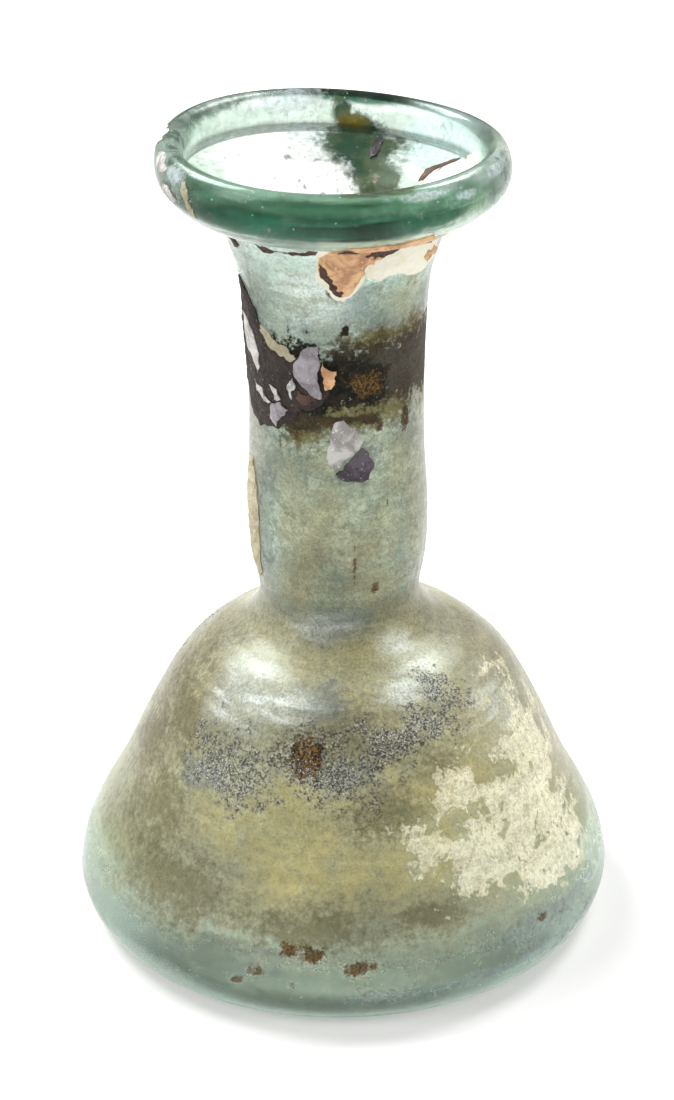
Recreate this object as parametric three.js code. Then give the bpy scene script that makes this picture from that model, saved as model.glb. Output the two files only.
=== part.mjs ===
// A small free-blown glass flask for perfumed oil: a bell-shaped body on a pushed-in base, a tall neck
// and a trumpet mouth with a thick rolled rim. It is one piece of glass, hollow and open at the top.
// Millimetres, +Z up, with the origin at the middle of the foot, on the surface that the flask stands on.
import * as THREE from "three";

// Base
const FOOT_RADIUS = 32; // outer edge of the flat ring that the flask rests on
const FOOT_RING_WIDTH = 4;
const KICK_HEIGHT = 2.4; // how far the underside is pushed up at its middle
const HEEL_HEIGHT = 5.8; // from the foot up to the widest ring
const HEEL_FULLNESS = 0.5; // 0 cuts straight from the foot to the widest ring, 1 makes a full corner
const FLOOR_THICKNESS = 4.2; // glass between the underside and the floor, at the middle
const FLOOR_CORNER_RADIUS = 6; // inside, between the floor and the wall

// Body
const BODY_RADIUS = 36; // at its widest
const BODY_HEIGHT = 46.7; // from the foot to the root of the neck
const BODY_WALL = 2;
const SHOULDER_OFFSET = 0.5; // the shoulder stands to the right of the foot's middle by this
const SHOULDER_SHARE = 0.75; // height of the shoulder, as a share of the body's height

// Neck
const NECK_ROOT_RADIUS = 10.5; // the nipped-in ring where the neck meets the body
const NECK_RADIUS = 11.4;
const NECK_LENGTH = 43.8; // from the root to where the mouth starts to open
const NECK_WALL = 1.8;

// Mouth and rim
const MOUTH_HEIGHT = 11; // from the top of the neck to the underside of the roll
const RIM_RADIUS = 22.15; // outer edge of the rolled rim
const ROLL_WIDTH = 3.8; // of the roll's oval section, measured along a radius
const ROLL_HEIGHT = 6.4;
const ROLL_JOIN_ANGLE = 38; // degrees under the roll's outermost point, where the outer wall runs into it
const ROLL_LEAVE_ANGLE = 200; // degrees over the roll's outermost point, where the inner wall leaves it
const RIM_DROP = 0.72; // the rim hangs lower than its middle by this on the right, and higher on the left
const RIM_WAVE = 0.34; // height of the two-beat wave in the rim
const RIM_WAVE_TURN = 149; // degrees from the right, anticlockwise, to a crest of that wave
const RIM_BEND_LENGTH = 5.5; // the tilt and the wave fade in over this length of the neck, and the mouth
const LIP_STEP = 1; // the inner wall stops short of the roll by this height, and of the floor's corner

// Fineness
const SEGMENTS = 60;
const UNDERSIDE_STEPS = 4;
const HEEL_STEPS = 5;
const WALL_STEPS = 27;
const ROLL_STEPS = 11;
const CORNER_STEPS = 4;

// Outlines of the free-blown stretches, each as [share of the way out, share of the way up].
// The bell runs from the neck's root radius (0) to the body's radius (1), and from the heel up to the root.
const BELL = [
  [0.971, 0.086], [0.905, 0.179], [0.775, 0.328], [0.649, 0.499], [0.504, 0.672],
  [0.407, 0.751], [0.286, 0.817], [0.16, 0.862], [0.075, 0.9], [0.024, 0.946],
];
// The neck's swellings and nips are shares of its radius, along its length.
const NECK = [[1.003, 0.132], [1.025, 0.281], [0.989, 0.463], [0.989, 0.669], [1.02, 0.847], [1.069, 1]];
// The mouth opens from the neck's top (0) to where it joins the roll (1), with a soft crease on the way.
const MOUTH = [[0.14, 0.384], [0.305, 0.69], [0.79, 0.832]];

const NECK_ROOT = BODY_HEIGHT;
const NECK_TOP = NECK_ROOT + NECK_LENGTH;
const ROLL_BOTTOM = NECK_TOP + MOUTH_HEIGHT;
const FLOOR = KICK_HEIGHT + FLOOR_THICKNESS;

const material = new THREE.MeshStandardMaterial({
  name: "glass",
  color: 0xa9c6bb,
  roughness: 0.3,
  metalness: 0,
  transparent: true,
  opacity: 0.55,
});

const mix = THREE.MathUtils.lerp;
const turn = THREE.MathUtils.degToRad;

// A point on the roll's oval section, by its angle over the outermost point.
function rollPoint(degrees) {
  return new THREE.Vector2(
    RIM_RADIUS - (ROLL_WIDTH / 2) * (1 - Math.cos(turn(degrees))),
    ROLL_BOTTOM + (ROLL_HEIGHT / 2) * (1 + Math.sin(turn(degrees))),
  );
}

// The outer wall from the widest ring up to the roll, as one smooth curve of radius against height.
function wallCurve() {
  const join = rollPoint(-ROLL_JOIN_ANGLE);
  const neckTopRadius = NECK_RADIUS * NECK.at(-1)[0];
  const bell = BELL.map(([out, up]) => [
    mix(NECK_ROOT_RADIUS, BODY_RADIUS, out),
    mix(HEEL_HEIGHT, NECK_ROOT, up),
  ]);
  const neck = NECK.map(([share, along]) => [NECK_RADIUS * share, mix(NECK_ROOT, NECK_TOP, along)]);
  const mouth = MOUTH.map(([out, up]) => [mix(neckTopRadius, join.x, out), mix(NECK_TOP, join.y, up)]);
  const stations = [
    [BODY_RADIUS, HEEL_HEIGHT],
    ...bell,
    [NECK_ROOT_RADIUS, NECK_ROOT],
    ...neck,
    ...mouth,
    [join.x, join.y],
  ];
  return new THREE.SplineCurve(stations.map(([radius, height]) => new THREE.Vector2(radius, height)));
}

// How thick the wall is at a height: the neck's wall above the root, easing into the body's below it.
function wallAt(height) {
  const ease = THREE.MathUtils.smoothstep(height, NECK_ROOT / 2, NECK_ROOT);
  return mix(BODY_WALL, NECK_WALL, ease);
}

// The outer wall's points, and the inner wall's, each set in from its outer point at right angles.
function wallPoints() {
  const curve = wallCurve();
  const outer = [];
  const inner = [];
  for (let i = 0; i <= WALL_STEPS; i++) {
    const share = i / WALL_STEPS;
    const point = curve.getPointAt(share);
    const tangent = curve.getTangentAt(share);
    const inward = new THREE.Vector2(-tangent.y, tangent.x);
    outer.push(point);
    inner.push(point.clone().addScaledVector(inward, wallAt(point.y)));
  }
  return { outer, inner };
}

// The underside: from its raised middle down to the foot ring, and round the heel to the widest ring.
function basePoints() {
  const ringInner = FOOT_RADIUS - FOOT_RING_WIDTH;
  const kick = new THREE.QuadraticBezierCurve(
    new THREE.Vector2(0, KICK_HEIGHT),
    new THREE.Vector2(ringInner / 2, KICK_HEIGHT),
    new THREE.Vector2(ringInner, 0),
  );
  const heel = new THREE.CubicBezierCurve(
    new THREE.Vector2(FOOT_RADIUS, 0),
    new THREE.Vector2(mix(FOOT_RADIUS, BODY_RADIUS, HEEL_FULLNESS), 0),
    new THREE.Vector2(BODY_RADIUS, HEEL_HEIGHT * (1 - HEEL_FULLNESS)),
    new THREE.Vector2(BODY_RADIUS, HEEL_HEIGHT),
  );
  return [...kick.getPoints(UNDERSIDE_STEPS), ...heel.getPoints(HEEL_STEPS).slice(0, -1)];
}

// The roll, from the outer wall over the top to where the inner wall leaves it.
function rollPoints() {
  const points = [];
  for (let i = 1; i <= ROLL_STEPS; i++) {
    points.push(rollPoint(mix(-ROLL_JOIN_ANGLE, ROLL_LEAVE_ANGLE, i / ROLL_STEPS)));
  }
  return points;
}

// The inside, from under the roll down to the floor, with a rounded corner.
function insidePoints(inner) {
  const cornerTop = FLOOR + FLOOR_CORNER_RADIUS;
  const rollEnd = rollPoint(ROLL_LEAVE_ANGLE);
  const wall = inner.filter((p) => p.y > cornerTop + LIP_STEP && p.y < rollEnd.y - LIP_STEP).reverse();
  const lowest = wall.at(-1);
  const corner = new THREE.QuadraticBezierCurve(
    lowest,
    new THREE.Vector2(lowest.x, FLOOR),
    new THREE.Vector2(lowest.x - FLOOR_CORNER_RADIUS, FLOOR),
  );
  return [...wall, ...corner.getPoints(CORNER_STEPS).slice(1), new THREE.Vector2(0, FLOOR)];
}

// Handwork: the shoulder stands off to one side, and the rim hangs lower on the right and waves a little.
function bendByHand(geometry) {
  const shoulder = NECK_ROOT * SHOULDER_SHARE;
  const position = geometry.getAttribute("position");
  for (let i = 0; i < position.count; i++) {
    const x = position.getX(i);
    const y = position.getY(i);
    const z = position.getZ(i);
    const above = THREE.MathUtils.smoothstep(z, shoulder, NECK_ROOT);
    const lean = THREE.MathUtils.smoothstep(z, 0, shoulder) - above;
    const lift = THREE.MathUtils.smoothstep(z, NECK_TOP - RIM_BEND_LENGTH, ROLL_BOTTOM);
    const wave = Math.cos(2 * (Math.atan2(y, x) - turn(RIM_WAVE_TURN)));
    position.setX(i, x + SHOULDER_OFFSET * lean);
    position.setZ(i, z + lift * (RIM_WAVE * wave - (RIM_DROP * x) / RIM_RADIUS));
  }
}

function makeFlask() {
  const { outer, inner } = wallPoints();
  const profile = [...basePoints(), ...outer, ...rollPoints(), ...insidePoints(inner)];
  const geometry = new THREE.LatheGeometry(profile, SEGMENTS);
  geometry.rotateX(Math.PI / 2);
  bendByHand(geometry);
  const mesh = new THREE.Mesh(geometry, material);
  mesh.name = "flask";
  return mesh;
}

const group = new THREE.Group();
group.add(makeFlask());
export default group;
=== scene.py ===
import math
import random

import bmesh
import bpy
from mathutils import Matrix, Vector, geometry, noise


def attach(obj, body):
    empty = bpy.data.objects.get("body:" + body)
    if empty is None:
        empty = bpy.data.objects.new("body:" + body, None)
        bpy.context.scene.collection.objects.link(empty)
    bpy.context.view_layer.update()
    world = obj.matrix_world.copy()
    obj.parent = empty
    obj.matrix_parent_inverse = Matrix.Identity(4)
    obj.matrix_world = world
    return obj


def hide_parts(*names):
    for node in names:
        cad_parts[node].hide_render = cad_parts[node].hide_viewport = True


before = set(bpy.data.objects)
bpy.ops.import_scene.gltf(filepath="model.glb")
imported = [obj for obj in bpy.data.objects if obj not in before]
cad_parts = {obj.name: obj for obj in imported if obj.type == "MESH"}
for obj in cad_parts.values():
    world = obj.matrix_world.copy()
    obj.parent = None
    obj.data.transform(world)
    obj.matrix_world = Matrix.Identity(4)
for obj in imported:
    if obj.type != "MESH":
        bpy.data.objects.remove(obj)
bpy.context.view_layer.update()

MM = 0.001

# Sizes of the flask, in millimetres, as in the CAD part
FOOT_RADIUS = 32
FOOT_RING_WIDTH = 4
KICK_HEIGHT = 2.4
HEEL_HEIGHT = 5.8
HEEL_FULLNESS = 0.5
FLOOR_THICKNESS = 4.2
FLOOR_CORNER_RADIUS = 6
BODY_RADIUS = 36
BODY_HEIGHT = 46.7
BODY_WALL = 2
SHOULDER_OFFSET = 0.5
SHOULDER_SHARE = 0.75
NECK_ROOT_RADIUS = 10.5
NECK_RADIUS = 11.4
NECK_LENGTH = 43.8
NECK_WALL = 1.8
MOUTH_HEIGHT = 11
RIM_RADIUS = 22.15
ROLL_WIDTH = 3.8
ROLL_HEIGHT = 6.4
ROLL_JOIN_ANGLE = 38
ROLL_LEAVE_ANGLE = 200
RIM_DROP = 0.72
RIM_WAVE = 0.34
RIM_WAVE_TURN = 149
RIM_BEND_LENGTH = 5.5
JOIN_ROOM = 1  # room for the curve between the inner wall and what it joins
TOP_ANGLE = 90  # where round the roll its outer face becomes its inner one
NECK_TOP = BODY_HEIGHT + NECK_LENGTH
ROLL_BOTTOM = NECK_TOP + MOUTH_HEIGHT
FLOOR = KICK_HEIGHT + FLOOR_THICKNESS
# Stations of the wall: shares of the way out and up in the body and the mouth, and in the neck shares of its
# radius and of its length
BELL = (
    (0.971, 0.086), (0.905, 0.179), (0.775, 0.328), (0.649, 0.499), (0.504, 0.672),
    (0.407, 0.751), (0.286, 0.817), (0.16, 0.862), (0.075, 0.9), (0.024, 0.946),
)
NECK = ((1.003, 0.132), (1.025, 0.281), (0.989, 0.463), (0.989, 0.669), (1.02, 0.847), (1.069, 1))
MOUTH = ((0.14, 0.384), (0.305, 0.69), (0.79, 0.832))

# Unevenness of the wall in mm, which fades out near the axis and the foot
BROAD_WOBBLE = 0.16
NARROW_WOBBLE = 0.06
STEADY_RADII = (4, 12)
STEADY_HEIGHTS = (3, 14)
POLE = 1e-6  # a smaller radius lies on the axis

# Fineness of the glass mesh
SEGMENTS = 216
UNDERSIDE_STEPS = 14
HEEL_STEPS = 12
WALL_STEPS = 170
ROLL_STEPS = 34
CORNER_STEPS = 12


def mix(a, b, share):
    return a + (b - a) * share


def smooth(value, low, high):
    t = min(max((value - low) / (high - low), 0), 1)
    return t * t * (3 - 2 * t)


# Profile of the glass, as (radius, height)

def catmull(points, steps):
    """Points along a smooth curve through these stations, evenly by length."""
    dense = []
    per = 40
    last = len(points) - 1
    for i in range(last):
        p0, p1, p2, p3 = (points[min(max(i + k, 0), last)] for k in (-1, 0, 1, 2))
        for j in range(per):
            t = j / per
            dense.append(tuple(
                0.5 * (2 * p1[k] + (p2[k] - p0[k]) * t + (2 * p0[k] - 5 * p1[k] + 4 * p2[k] - p3[k]) * t * t
                       + (3 * p1[k] - p0[k] - 3 * p2[k] + p3[k]) * t ** 3)
                for k in (0, 1)))
    dense.append(tuple(points[-1]))
    return resample(dense, steps)


def resample(line, steps):
    lengths = [0]
    for a, b in zip(line, line[1:]):
        lengths.append(lengths[-1] + math.dist(a, b))
    result = []
    k = 0
    for i in range(steps + 1):
        want = lengths[-1] * i / steps
        while k < len(line) - 2 and lengths[k + 1] < want:
            k += 1
        span = lengths[k + 1] - lengths[k]
        share = min(max((want - lengths[k]) / span, 0), 1)
        result.append(tuple(mix(line[k][c], line[k + 1][c], share) for c in (0, 1)))
    return result


def roll_point(degrees):
    angle = math.radians(degrees)
    return (
        RIM_RADIUS - ROLL_WIDTH / 2 * (1 - math.cos(angle)),
        ROLL_BOTTOM + ROLL_HEIGHT / 2 * (1 + math.sin(angle)),
    )


def bezier(points, steps):
    result = []
    for i in range(steps + 1):
        line = [tuple(p) for p in points]
        t = i / steps
        while len(line) > 1:
            line = [tuple(mix(a[c], b[c], t) for c in (0, 1)) for a, b in zip(line, line[1:])]
        result.append(line[0])
    return result


def outer_wall():
    join = roll_point(-ROLL_JOIN_ANGLE)
    neck_top = NECK_RADIUS * NECK[-1][0]
    stations = [(BODY_RADIUS, HEEL_HEIGHT)]
    stations += [
        (mix(NECK_ROOT_RADIUS, BODY_RADIUS, out), mix(HEEL_HEIGHT, BODY_HEIGHT, up)) for out, up in BELL
    ]
    stations += [(NECK_ROOT_RADIUS, BODY_HEIGHT)]
    stations += [(NECK_RADIUS * share, mix(BODY_HEIGHT, NECK_TOP, along)) for share, along in NECK]
    stations += [(mix(neck_top, join[0], out), mix(NECK_TOP, join[1], up)) for out, up in MOUTH]
    stations += [join]
    return catmull(stations, WALL_STEPS)


def wall_at(height):
    return mix(BODY_WALL, NECK_WALL, smooth(height, BODY_HEIGHT / 2, BODY_HEIGHT))


def inner_wall(outer):
    result = []
    for i, point in enumerate(outer):
        a = outer[max(i - 1, 0)]
        b = outer[min(i + 1, len(outer) - 1)]
        length = math.dist(a, b)
        inward = (-(b[1] - a[1]) / length, (b[0] - a[0]) / length)
        wall = wall_at(point[1])
        result.append((point[0] + inward[0] * wall, point[1] + inward[1] * wall))
    return result


def flask_profile():
    """The closed outline of the glass, and for each point 0 outside or 1 inside."""
    ring_inner = FOOT_RADIUS - FOOT_RING_WIDTH
    kick = bezier([(0, KICK_HEIGHT), (ring_inner / 2, KICK_HEIGHT), (ring_inner, 0)], UNDERSIDE_STEPS)
    heel = bezier([
        (FOOT_RADIUS, 0),
        (mix(FOOT_RADIUS, BODY_RADIUS, HEEL_FULLNESS), 0),
        (BODY_RADIUS, HEEL_HEIGHT * (1 - HEEL_FULLNESS)),
        (BODY_RADIUS, HEEL_HEIGHT),
    ], HEEL_STEPS)
    outer = outer_wall()
    roll_angles = [mix(-ROLL_JOIN_ANGLE, ROLL_LEAVE_ANGLE, i / ROLL_STEPS) for i in range(1, ROLL_STEPS + 1)]
    roll = [roll_point(angle) for angle in roll_angles]
    lowest = FLOOR + FLOOR_CORNER_RADIUS + JOIN_ROOM
    kept = [p for p in inner_wall(outer) if lowest < p[1] < roll[-1][1] - JOIN_ROOM]
    kept.reverse()
    low = kept[-1]
    corner = bezier([low, (low[0], FLOOR), (low[0] - FLOOR_CORNER_RADIUS, FLOOR)], CORNER_STEPS)
    floor = bezier([corner[-1], (0, FLOOR)], UNDERSIDE_STEPS)
    outside = kick + heel[:-1] + outer + roll
    inside = kept + corner[1:] + floor[1:]
    over_top = sum(angle > TOP_ANGLE for angle in roll_angles)
    return outside + inside, [0] * (len(outside) - over_top) + [1] * (len(inside) + over_top)


def bend_by_hand(x, y, z):
    """The shoulder stands off to one side, and the rim hangs lower on the right and waves a little."""
    shoulder = BODY_HEIGHT * SHOULDER_SHARE
    lean = smooth(z, 0, shoulder) - smooth(z, shoulder, BODY_HEIGHT)
    lift = smooth(z, NECK_TOP - RIM_BEND_LENGTH, ROLL_BOTTOM)
    wave = math.cos(2 * (math.atan2(y, x) - math.radians(RIM_WAVE_TURN)))
    return x + SHOULDER_OFFSET * lean, y, z + lift * (RIM_WAVE * wave - RIM_DROP * x / RIM_RADIUS)


def side_lines():
    """The outer and inner faces as (radius, height) lines from the foot to the top of the roll."""
    profile, inner = flask_profile()
    split = inner.index(1)
    above_foot = HEEL_HEIGHT * 0.2
    off_axis = NECK_ROOT_RADIUS * 0.8
    climbing = [p for p in profile[:split] if p[1] > above_foot and p[0] > off_axis]
    return climbing, profile[:split - 1:-1]


SIDE_LINES = side_lines()
OUTSIDE = 0
INSIDE = 1


def line_place(height, side):
    line = SIDE_LINES[side]
    k = min(range(len(line) - 1), key=lambda i: abs((line[i][1] + line[i + 1][1]) / 2 - height))
    a, b = line[k], line[k + 1]
    share = min(max((height - a[1]) / (b[1] - a[1] or 1e-9), 0), 1)
    length = math.dist(a, b)
    turn = -1 if side else 1
    return mix(a[0], b[0], share), (turn * (b[1] - a[1]) / length, -turn * (b[0] - a[0]) / length)


def on_glass(azimuth, height, lift=0.0, side=OUTSIDE):
    """A point on a face of the wall, in metres: azimuth in degrees right of the front, height in mm."""
    radius, out = line_place(height, side)
    r = radius + out[0] * lift + hand_wobble(azimuth, height, side)
    z = height + out[1] * lift
    turn = math.radians(azimuth)
    return Vector(bend_by_hand(r * math.sin(turn), -r * math.cos(turn), z)) * MM


# Stains on the glass, and patches of painted shade and painted highlights. Each is a list of soft ovals:
# azimuth, height, half-width and half-height, in degrees and mm. The shader breaks their edges up.

ALL_ROUND = 400
STAINS = {
    "film": {
        "inside": [(0, 27.8, ALL_ROUND, 19.2)],
    },
    "haze": {
        "outside": [(0, 28, ALL_ROUND, 18)],
    },
    "warm": {
        "inside": [(-10, 20, 42, 9), (14, 29, 44, 8), (150, 20, 90, 10)],
    },
    "dusk": {
        "outside": [
            (-6, 13.4, 24, 3.2), (0, 35, 30, 4), (-60, 34, 30, 7), (12, 27, 12, 3), (30, 31, 9, 3),
            (-45, 15, 22, 4), (-58, 22, 16, 5), (20, 14.5, 12, 2), (-76, 28, 14, 6),
        ],
        "inside": [(0, 14, 34, 3.4), (-45, 16, 28, 5), (-10, 36, 40, 5), (180, 32, 60, 6)],
    },
    "cream": {
        "outside": [
            (54, 22.5, 26, 7), (34, 27.4, 11, 3.4), (70, 27, 18, 8), (36, 19, 14, 4), (200, 24, 30, 7),
            (60, 15, 18, 3), (24, 22, 8, 3),
        ],
        "inside": [(58, 20, 30, 9), (78, 26, 16, 9)],
    },
    # Pale frosted weathering, partly painted highlights: streaky bright patches on the shoulders, at the
    # neck root and under the rim
    "frost_and_painted_highlight": {
        "outside": [
            (-14, 45.4, 22, 1.5), (-44, 38, 14, 3.4), (38, 41, 12, 2.6), (60, 33, 12, 4),
            (-14, 92, 20, 4), (-28, 96.7, 24, 1.1), (-30, 38, 16, 1.6), (26, 39, 12, 1.4),
        ],
    },
    "granular": {
        "outside": [
            (-42, 30, 13, 3.6), (-28, 29.6, 12, 3.2), (-12, 31.5, 9, 3.4), (2, 31.5, 10, 3.6),
            (14, 34, 10, 3.2), (28, 36, 12, 2.8), (40, 37.6, 10, 2.4), (150, 31, 40, 5), (230, 36, 30, 4),
        ],
    },
    "blue": {
        "outside": [
            (3, 31.4, 5, 1.9), (-8, 39.3, 10, 1.8), (3, 46, 20, 2), (-8, 45, 16, 2), (8, 68.5, 10, 2),
            (52, 9, 20, 1.2), (13, 91, 6, 2), (-46, 28, 8, 2), (34, 5, 30, 1),
        ],
    },
    # Grey-blue grime on the neck, and a ring of painted shade all round the neck root
    "neck_grime_and_root_shade": {
        "outside": [
            (0, 46.6, ALL_ROUND, 2.4), (-48, 90, 14, 3.5), (-36, 87, 14, 3.2), (14, 90.5, 14, 3),
            (30, 88.5, 16, 3.4), (48, 86, 12, 2.2), (-6, 86, 18, 2.4), (-26, 91, 10, 3), (2, 89, 10, 2),
            (10, 70, 14, 3), (-36, 68, 14, 3), (20, 60, 8, 4), (-14, 58, 8, 5), (44, 58, 10, 5),
            (52, 71, 12, 3), (-6, 64, 10, 2.4), (16, 65, 12, 3), (-2, 46, 24, 2), (-30, 54, 12, 3),
            (35, 64, 10, 3), (2, 52, 16, 2), (180, 68, 70, 10), (66, 88, 10, 3),
        ],
    },
    "neck": {
        "outside": [(0, 68, ALL_ROUND, 27)],
    },
    "wash": {
        "inside": [
            (-98, 102, 26, 7), (-122, 104, 24, 3), (-148, 104.8, 22, 2.3), (-172, 105, 22, 3),
            (180, 102.6, 14, 1.4), (112, 101, 34, 4), (150, 105, 16, 1.6),
        ],
    },
    "sand": {
        "outside": [
            (-6, 60.5, 18, 5), (12, 57, 14, 3.4), (-30, 61, 12, 6), (32, 59, 12, 4), (0, 69, 20, 2),
            (42, 67, 12, 4), (60, 60, 14, 8), (-30, 51, 16, 3), (24, 51, 20, 3), (-14, 93, 14, 3),
            (48, 90, 14, 3), (-20, 56, 8, 6),
        ],
        "inside": [(-8, 58, 34, 8)],
    },
    "mint": {
        "outside": [(0, 3.6, ALL_ROUND, 6)],
        "inside": [(0, 5, ALL_ROUND, 6)],
    },
    "pale": {
        "outside": [(180, 100.5, 100, 6), (-20, 100.8, 90, 3), (-30, 100.4, 60, 3)],
        "inside": [(180, 102.5, 115, 7), (0, 99.5, 90, 4)],
    },
    "olive": {
        "outside": [
            (-4, 75.8, 20, 3.2), (16, 76, 20, 2.8), (-22, 73.4, 14, 2.4), (40, 75.6, 20, 2.2),
            (80, 75, 20, 2), (30, 85.6, 20, 1.2), (58, 86, 14, 1.6),
        ],
        "inside": [(171, 104.4, 5, 0.8)],
    },
    "brown": {
        "outside": [
            (34, 81, 20, 4), (52, 80.6, 18, 4.6), (72, 80.4, 18, 5), (90, 80, 16, 4), (4, 81, 14, 3.6),
            (16, 80.6, 14, 3.6), (-36, 79, 24, 5), (28, 73.2, 3, 0.7), (50, 73.6, 4, 1.8),
            (130, 79, 30, 2.6), (-26, 74.4, 16, 1.4), (-2, 74.8, 22, 0.5), (22, 74.5, 6, 0.5),
        ],
    },
    "black": {
        "outside": [
            (0, 80, 10, 3), (10, 79.8, 13, 3.2), (22, 79.4, 12, 2.6), (-32, 80.6, 24, 4.2),
            (-14, 77.4, 12, 1.8), (-9.4, 33.2, 1.8, 1.3), (-16, 33.6, 1.2, 0.9), (5.8, 87.1, 2, 0.6),
        ],
    },
    "green": {
        "outside": [(-22, 105.8, 100, 3.8), (180, 107.9, 90, 0.9), (0, 0.2, ALL_ROUND, 1.1)],
        "inside": [(172, 107.8, 40, 0.9), (0, 107, 115, 2.8)],
    },
    "deep": {
        "outside": [(-24, 104.2, 34, 2), (8, 104.2, 36, 2), (34, 104.2, 14, 1.2), (170, 107.8, 22, 0.9)],
        "inside": [(170, 107.6, 22, 1), (0, 108.2, 70, 0.5)],
    },
    # Painted shade: a darker green on the left and right sides of the low band, so that its outline shows
    "painted_flank_shade": {
        "outside": [(-90, 13, 34, 11), (90, 13, 34, 11)],
        "inside": [(-90, 13, 30, 10), (90, 13, 28, 10)],
    },
    # Painted shade along the left and right sides of the body and the neck, where they turn away from the
    # camera
    "painted_edge_shade": {
        "outside": [(-92, 36, 34, 16), (92, 36, 30, 16), (-92, 66, 34, 24), (92, 66, 34, 24)],
    },
    "grit": {
        "outside": [(0, 59, ALL_ROUND, 46)],
    },
    "worn": {
        "outside": [(-70, 105.6, 18, 2.6), (-84, 106, 14, 2.6), (78, 106, 14, 2)],
        "inside": [(-84, 106.8, 20, 1.6), (-128, 107.6, 24, 1)],
    },
    # Pearly patches on the rim and in the mouth, partly painted highlights
    "pearl_and_painted_gleam": {
        "outside": [(-62, 106.4, 5, 0.9), (30, 107, 14, 0.5), (45, 106, 7, 0.5), (66, 106.9, 9, 0.5)],
        "inside": [(-163, 106.6, 13, 1.6), (-150, 106.8, 6, 1), (-168, 102.2, 9, 1.2)],
    },
    "teal": {
        "inside": [(112, 103.6, 26, 3), (140, 103.4, 12, 2.4), (130, 107, 22, 1)],
    },
    "thick": {
        "inside": [
            (176, 105.6, 4, 2), (168, 103.2, 11, 2.2), (162, 100.8, 15, 3), (150, 99, 12, 2.6),
            (173, 101.6, 12, 1.8), (154, 97.6, 12, 1.6),
        ],
    },
    "clear": {
        "outside": [(-160, 98.6, 46, 5)],
        "inside": [
            (-146, 99.4, 34, 2.8), (-175, 98.6, 14, 2.2), (170, 98, 10, 1.6), (0, 7.6, ALL_ROUND, 1.4),
        ],
    },
    "rust": {
        "outside": [
            (-18.9, 8.2, 2.4, 0.8), (-12, 11.2, 2.6, 0.8), (-6.5, 10.8, 3, 1), (2.7, 9.3, 3.6, 0.8),
            (46.5, 9.3, 2, 0.5), (-22.6, 6.6, 2.8, 0.6), (-10.9, 6.8, 1.4, 0.5), (-12.5, 32.6, 4, 2.2),
            (9.5, 54, 0.8, 3.4), (24, 50.8, 2.4, 0.9), (33, 62.6, 1.5, 0.7), (27, 73.2, 3, 0.7),
            (50, 73.2, 3, 1.5), (-40, 70.7, 1.6, 0.7), (20, 79.4, 10, 1.4), (-1.5, 92.6, 3, 0.6),
        ],
    },
}
SIDES = ("outside", "inside")


def stain_value(ovals, azimuth, height):
    """1 in the middle of an oval, 0 on its edge, and below 0 outside it."""
    best = -1.0
    for at, z, wide, tall in ovals:
        turn = (azimuth - at + 180) % 360 - 180
        away = 0 if wide >= ALL_ROUND else turn / wide
        best = max(best, 1 - math.hypot(away, (height - z) / tall))
    return best


def make_glass():
    """The whole flask as one closed mesh, with its stains stored on its points."""
    profile, inner = flask_profile()
    count = len(profile)
    points = []
    stain = {name: [] for name in STAINS}
    for k, (radius, height) in enumerate(profile):
        pole = radius < POLE
        for s in range(1 if pole else SEGMENTS):
            turn = 2 * math.pi * s / SEGMENTS
            azimuth = math.degrees(turn)
            wobble = hand_wobble(azimuth, height, inner[k])
            r = radius + wobble * smooth(radius, *STEADY_RADII) * smooth(height, *STEADY_HEIGHTS)
            points.append(Vector(bend_by_hand(r * math.sin(turn), -r * math.cos(turn), height)) * MM)
            for name, ovals in STAINS.items():
                stain[name].append(stain_value(ovals.get(SIDES[inner[k]], []), azimuth, height))
    starts = []
    at = 0
    for radius, _ in profile:
        starts.append(at)
        at += 1 if radius < POLE else SEGMENTS
    faces = []
    for k in range(count - 1):
        a, b = starts[k], starts[k + 1]
        pole_a = profile[k][0] < POLE
        pole_b = profile[k + 1][0] < POLE
        for s in range(SEGMENTS):
            t = (s + 1) % SEGMENTS
            if pole_a:
                faces.append((a, b + t, b + s))
            elif pole_b:
                faces.append((a + s, a + t, b))
            else:
                faces.append((a + s, a + t, b + t, b + s))
    mesh = bpy.data.meshes.new("flask_glass")
    mesh.from_pydata(points, [], faces)
    mesh.update()
    for name, values in stain.items():
        layer = mesh.attributes.new(name, "FLOAT", "POINT")
        layer.data.foreach_set("value", values)
    turn_faces_out(mesh)
    mesh.shade_smooth()
    return link(mesh)


def hand_wobble(azimuth, height, side):
    """A tenth of a millimetre or so of unevenness in the wall, other inside than outside."""
    turn = math.radians(azimuth)

    def waves(around, pitch, side_step, start=0):
        up = height / pitch + side * side_step + start
        return noise.noise(Vector((math.sin(turn) * around, math.cos(turn) * around, up)))

    broad = waves(around=1.1, pitch=26, side_step=7)
    narrow = waves(around=2.6, pitch=9, side_step=11, start=30)
    return BROAD_WOBBLE * broad + NARROW_WOBBLE * narrow


def turn_faces_out(mesh):
    bm = bmesh.new()
    bm.from_mesh(mesh)
    bmesh.ops.recalc_face_normals(bm, faces=bm.faces)
    bm.to_mesh(mesh)
    bm.free()


def link(mesh):
    thing = bpy.data.objects.new(mesh.name, mesh)
    bpy.context.scene.collection.objects.link(thing)
    return thing


def finish_piece(thing, material):
    if material is not None:
        thing.data.materials.clear()
        thing.data.materials.append(material)
    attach(thing, "root")
    return thing


# Shader building

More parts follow.
